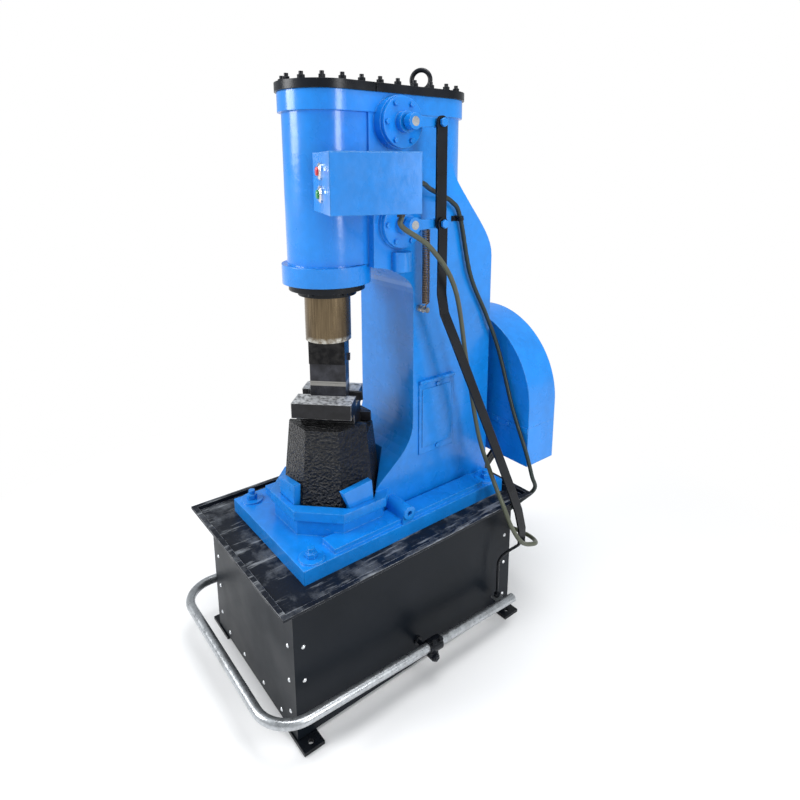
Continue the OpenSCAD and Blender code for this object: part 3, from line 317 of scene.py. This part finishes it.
def galvanised():
    """Zinc-coated pipe: spangle, dull patches and scratches."""
    look = Look("galvanised", 0.36, metallic=0.9)
    look.soften(0.0008)
    spangle = look.cells(95.0)
    base = look.blend(look.span(spangle, 0.1, 0.7), (0.37, 0.39, 0.41), (0.47, 0.49, 0.51))
    base = look.blend(look.span(look.noise(15.0, 7.0), 0.50, 0.75, 0.0, 0.6), base, (0.20, 0.205, 0.20))
    look.bump(look.noise(260.0, 4.0), 0.00025)
    return look.done(base, look.span(look.noise(42.0, 6.0), 0.3, 0.7, 0.20, 0.42))


def plastic(name, colour, roughness, grain=0.0001, scale=600.0, coat=0.0):
    """Moulded plastic or rubber."""
    look = Look(name, roughness, coat=coat)
    look.soften(0.0006)
    base = look.blend(look.span(look.noise(12.0, 4.0), 0.3, 0.7), shade(colour, 0.85), shade(colour, 1.15))
    look.bump(look.noise(scale, 3.0), grain)
    return look.done(base, look.span(look.noise(60.0, 4.0), 0.3, 0.7, roughness * 0.8, roughness * 1.25))


BLUE = (0.004, 0.215, 0.70)
LOOKS = {
    # The light blue given here is the colour of the painted edge highlight.
    "blue_paint": casting_paint("gloss_blue", BLUE, (0.17, 0.54, 0.93)),
    "black_paint": black_paint("gloss_black", (0.003, 0.004, 0.006), 0.28, 0.0003),
    "black_sheet": sheet_black(),
    "worn_black": tray_paint(),
    "forged_steel": forged("forged_steel", (0.009, 0.009, 0.011), (0.62, 0.63, 0.64), 0.8, 0.3, 0.42, top=0.95),
    "black_iron": rough_iron(),
    "die_steel": forged("die_steel", (0.030, 0.031, 0.038), (0.36, 0.35, 0.33), 0.6, 0.5, 0.36, 0.002,
                        bright=(1.056, 1.073)),
    "ram_steel": ram_look(),
    "machined_steel": turned("machined_steel", (0.46, 0.47, 0.48), 0.30, (0.1, 1.0, 1.0)),
    "galvanised": galvanised(),
    "bronze": turned("bronze", (0.62, 0.40, 0.15), 0.28, (1.0, 1.0, 0.05)),
    "chrome": turned("chrome", (0.80, 0.81, 0.83), 0.10, (1.0, 1.0, 1.0), (0.6, 0.6, 0.6), 0.1),
    "spring_steel": turned("spring_steel", (0.23, 0.18, 0.14), 0.40, (1.0, 1.0, 1.0), (0.12, 0.07, 0.04), 0.5),
    "rivet_steel": turned("rivet_steel", (0.78, 0.80, 0.82), 0.26, (1.0, 1.0, 1.0), (0.4, 0.4, 0.4), 0.2),
    "belt_rubber": plastic("belt_rubber", (0.014, 0.014, 0.014), 0.7, 0.0003, 300.0),
    "grey_conduit": plastic("grey_conduit", (0.060, 0.068, 0.042), 0.42),
    "green_conduit": plastic("green_conduit", (0.006, 0.017, 0.014), 0.45),
    "gland_plastic": plastic("gland_plastic", (0.018, 0.018, 0.020), 0.42),
    "red_plastic": plastic("red_plastic", (0.62, 0.012, 0.010), 0.22, 0.00002, coat=0.5),
    "green_plastic": plastic("green_plastic", (0.010, 0.30, 0.045), 0.22, 0.00002, coat=0.5),
    "iron_pulley": turned("iron_pulley", (0.16, 0.16, 0.17), 0.45, (1.0, 0.1, 1.0)),
}

for name, part in nodes.items():
    part.material_slots[0].material = LOOKS[slot_of[name]]


# Pieces made here


def piece_from(name, vertices, faces, slot, body, smooth=True):
    """A mesh piece with its material, riding on a body."""
    mesh = bpy.data.meshes.new(name)
    mesh.from_pydata([tuple(v) for v in vertices], [], faces)
    mesh.validate()
    for polygon in mesh.polygons:
        polygon.use_smooth = smooth
    piece = bpy.data.objects.new(name, mesh)
    bpy.context.scene.collection.objects.link(piece)
    mesh.materials.append(LOOKS[slot])
    if body is not None:
        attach(piece, body)
    return piece


def tube(path, radius, sides):
    """Vertices and faces of a tube; radius is a function of the length gone."""
    path = [Vector(p) for p in path]
    side = Vector((0.0, 1.0, 0.2))
    vertices, faces = [], []
    gone = 0.0
    for i, point in enumerate(path):
        gone += (point - path[i - 1]).length if i else 0.0
        along = (path[min(i + 1, len(path) - 1)] - path[max(i - 1, 0)]).normalized()
        side = (side - along * side.dot(along)).normalized()
        across = along.cross(side)
        for k in range(sides):
            turn = 2 * math.pi * k / sides
            vertices.append(point + radius(gone) * (math.cos(turn) * side + math.sin(turn) * across))
    for i in range(len(path) - 1):
        for k in range(sides):
            a, b = i * sides + k, i * sides + (k + 1) % sides
            faces.append((a, b, b + sides, a + sides))
    faces.append(tuple(reversed(range(sides))))
    faces.append(tuple(range((len(path) - 1) * sides, len(path) * sides)))
    return vertices, faces


def smooth_route(points, steps):
    """Catmull-Rom curve through the points, as the solids follow it."""
    points = [Vector(p) / 1000 for p in points]
    ends = [2 * points[0] - points[1], *points, 2 * points[-1] - points[-2]]
    route = []
    for i in range(len(points) - 1):
        p0, p1, p2, p3 = ends[i : i + 4]
        for k in range(steps):
            t = k / steps
            route.append(
                0.5 * (2 * p1 + (p2 - p0) * t + (2 * p0 - 5 * p1 + 4 * p2 - p3) * t * t
                       + (3 * p1 - p0 - 3 * p2 + p3) * t ** 3)
            )
    return [*route, points[-1]]


CONDUIT_RADIUS = 0.0085
POWER_ROUTE = [
    (341, -84, 1671), (342, -80, 1640), (330, 50, 1560), (302, 184, 1405), (262, 285, 1121),
    (252, 370, 800), (325, 372, 655), (396, 372, 545), (418, 400, 455), (424, 460, 370),
    (410, 560, 320), (340, 600, 300), (250, 580, 300), (230, 515, 300),
]
MOTOR_ROUTE = [
    (310, -22, 1772), (285, 48, 1768), (220, 140, 1745), (200, 255, 1700), (181, 317, 1640),
    (181, 377, 1420), (181, 470, 1250), (200, 530, 1095), (275, 540, 870), (352, 540, 710),
    (372, 562, 602), (362, 596, 530), (290, 606, 440), (190, 575, 320), (170, 515, 300),
]
RIB_PITCH = 0.006
RIB_DEPTH = 0.0008


def conduit(name, points, steps, slot, radius):
    """A cable conduit between two glands."""
    route = smooth_route(points, steps)
    piece = piece_from(name + "_hose", *tube(route, radius, 20), slot, "frame")
    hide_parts(name)
    return piece


def ribbed(gone):
    """Radius of the ribbed conduit."""
    return CONDUIT_RADIUS - RIB_DEPTH * (0.5 + 0.5 * math.cos(2 * math.pi * gone / RIB_PITCH)) ** 2


SPRING_AXIS = (0.204, 0.134)
SPRING_ENDS = (1.3325, 1.6255)
SPRING_RADIUS = 0.012
SPRING_WIRE = 0.0024
SPRING_TURNS = 44


def return_spring():
    """Close-wound tension spring between its anchor and the lower lever."""
    low, high = SPRING_ENDS[0] + 0.014, SPRING_ENDS[1] - 0.014
    steps = SPRING_TURNS * 24
    path = [(*SPRING_AXIS, SPRING_ENDS[0]), (*SPRING_AXIS, SPRING_ENDS[0] + 0.006)]
    for i in range(steps + 1):
        turn = 2 * math.pi * i / 24
        grow = min(1.0, i / 8, (steps - i) / 8)
        reach = SPRING_RADIUS * (0.25 + 0.75 * grow)
        path.append((
            SPRING_AXIS[0] + reach * math.cos(turn), SPRING_AXIS[1] + reach * math.sin(turn),
            low + (high - low) * i / steps,
        ))
    path += [(*SPRING_AXIS, SPRING_ENDS[1] - 0.006), (*SPRING_AXIS, SPRING_ENDS[1])]
    piece = piece_from("return_spring_coil", *tube(path, lambda gone: SPRING_WIRE, 10), "spring_steel", None)
    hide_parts("return_spring")
    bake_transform(piece)


# Stage, lights and the end


def make_stage():
    """Pale floor that fades to white with distance."""
    bpy.ops.mesh.primitive_plane_add(size=60)
    floor = bpy.context.active_object
    floor.name = "floor"
    look = Look("floor", 0.55, specular=0.2)
    base = look.blend(look.noise(0.6, 2.0), (0.90, 0.90, 0.905), (0.92, 0.92, 0.925))
    material = look.done(base)
    reach = look.add("VectorMath", operation="LENGTH")
    look.link(look.place, reach.inputs[0])
    far = look.span(reach.outputs["Value"], 0.9, 2.3)
    white = look.add("Emission")
    white.inputs["Strength"].default_value = 1.0
    mix = look.add("MixShader")
    look.link(far, mix.inputs["Fac"])
    look.link(look.shader.outputs["BSDF"], mix.inputs[1])
    look.link(white.outputs["Emission"], mix.inputs[2])
    look.link(mix.outputs["Shader"], look.tree.nodes["Material Output"].inputs["Surface"])
    floor.data.materials.append(material)


def area_light(name, place, target, size, watts, colour=(1, 1, 1)):
    data = bpy.data.lights.new(name, "AREA")
    data.shape = "RECTANGLE"
    data.size, data.size_y = size
    data.energy = watts
    data.color = colour
    light = bpy.data.objects.new(name, data)
    bpy.context.scene.collection.objects.link(light)
    light.location = place
    light.rotation_euler = (Vector(target) - Vector(place)).to_track_quat("-Z", "Y").to_euler()


def make_light():
    world = bpy.data.worlds.new("studio")
    world.use_nodes = True
    tree = world.node_tree
    soft = tree.nodes["Background"]
    soft.inputs["Color"].default_value = (0.93, 0.97, 1.0, 1.0)
    soft.inputs["Strength"].default_value = 0.56
    white = tree.nodes.new("ShaderNodeBackground")
    white.inputs["Color"].default_value = (1.0, 1.0, 1.0, 1.0)
    path = tree.nodes.new("ShaderNodeLightPath")
    mix = tree.nodes.new("ShaderNodeMixShader")
    tree.links.new(path.outputs["Is Camera Ray"], mix.inputs["Fac"])
    tree.links.new(soft.outputs["Background"], mix.inputs[1])
    tree.links.new(white.outputs["Background"], mix.inputs[2])
    tree.links.new(mix.outputs["Shader"], tree.nodes["World Output"].inputs["Surface"])
    bpy.context.scene.world = world
    area_light("window", (-1.6, -3.4, 3.0), (0.0, 0.0, 1.2), (1.8, 2.4), 150.0)
    area_light("sky", (0.6, 0.3, 4.6), (0.0, 0.0, 0.8), (2.4, 2.4), 105.0)
    area_light("side", (3.4, 0.6, 2.2), (0.0, 0.2, 1.0), (1.0, 2.0), 62.0)
    bpy.context.scene.view_settings.view_transform = "Standard"


make_camera()
conduit("power_conduit", POWER_ROUTE, 24, "grey_conduit", lambda gone: CONDUIT_RADIUS)
conduit("motor_conduit", MOTOR_ROUTE, 48, "green_conduit", ribbed)
return_spring()
make_stage()
make_light()
